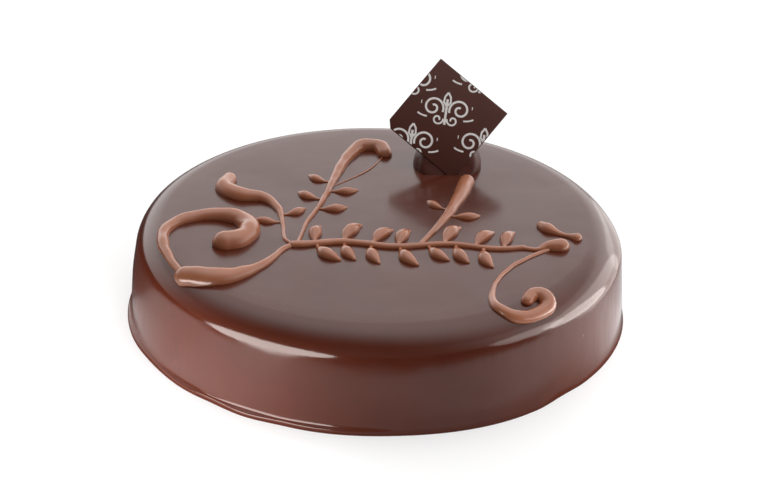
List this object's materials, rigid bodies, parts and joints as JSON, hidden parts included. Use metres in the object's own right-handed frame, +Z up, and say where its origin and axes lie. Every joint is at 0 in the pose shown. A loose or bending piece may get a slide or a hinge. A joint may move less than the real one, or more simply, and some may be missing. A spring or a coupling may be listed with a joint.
{
  "type": "sachertorte cake",
  "caption": "Whole round chocolate torte under smooth dark glaze, with a leafy vine piped on top in milk chocolate and a small square chocolate plaque leaning back on a dot of ganache.",
  "frame": {"origin": "middle of the underside of the cake, on the surface that it rests on", "axes": "+Z up; the plaque stands in the +Y half and its printed face looks to -Y and up, so the front of the cake faces -Y; +X to the right"},
  "size_m": [0.2227, 0.2201, 0.0897],
  "materials": {
    "glaze": "poured dark chocolate glaze, smooth and glossy",
    "ganache": "dark ganache, satin",
    "plaque": "thin dark chocolate, satin, with a pale print on its front",
    "piping": "piped milk chocolate, satin"
  },
  "bodies": {
    "root": {"glazed_cake": "glaze", "ganache_dot": "ganache", "chocolate_plaque": "plaque", "piped_stem": "piping", "piped_sweep": "piping", "piped_volute": "piping", "piped_plume_left": "piping", "piped_plume_back": "piping", "piped_plume_right": "piping", "piped_tendril": "piping", "piped_twig": "piping", "piped_tip": "piping", "piped_leaf_1": "piping", "piped_leaf_2": "piping", "piped_leaf_3": "piping", "piped_leaf_4": "piping", "piped_leaf_5": "piping", "piped_leaf_6": "piping", "piped_leaf_7": "piping", "piped_leaf_8": "piping", "piped_leaf_9": "piping", "piped_leaf_10": "piping", "piped_leaf_11": "piping", "piped_leaf_12": "piping", "piped_leaf_13": "piping", "piped_leaf_14": "piping", "piped_leaf_15": "piping", "piped_leaf_16": "piping", "piped_leaf_17": "piping", "piped_leaf_18": "piping", "piped_leaf_19": "piping", "piped_leaf_20": "piping", "piped_leaf_21": "piping", "piped_leaf_22": "piping"}
  },
  "joints": []
}
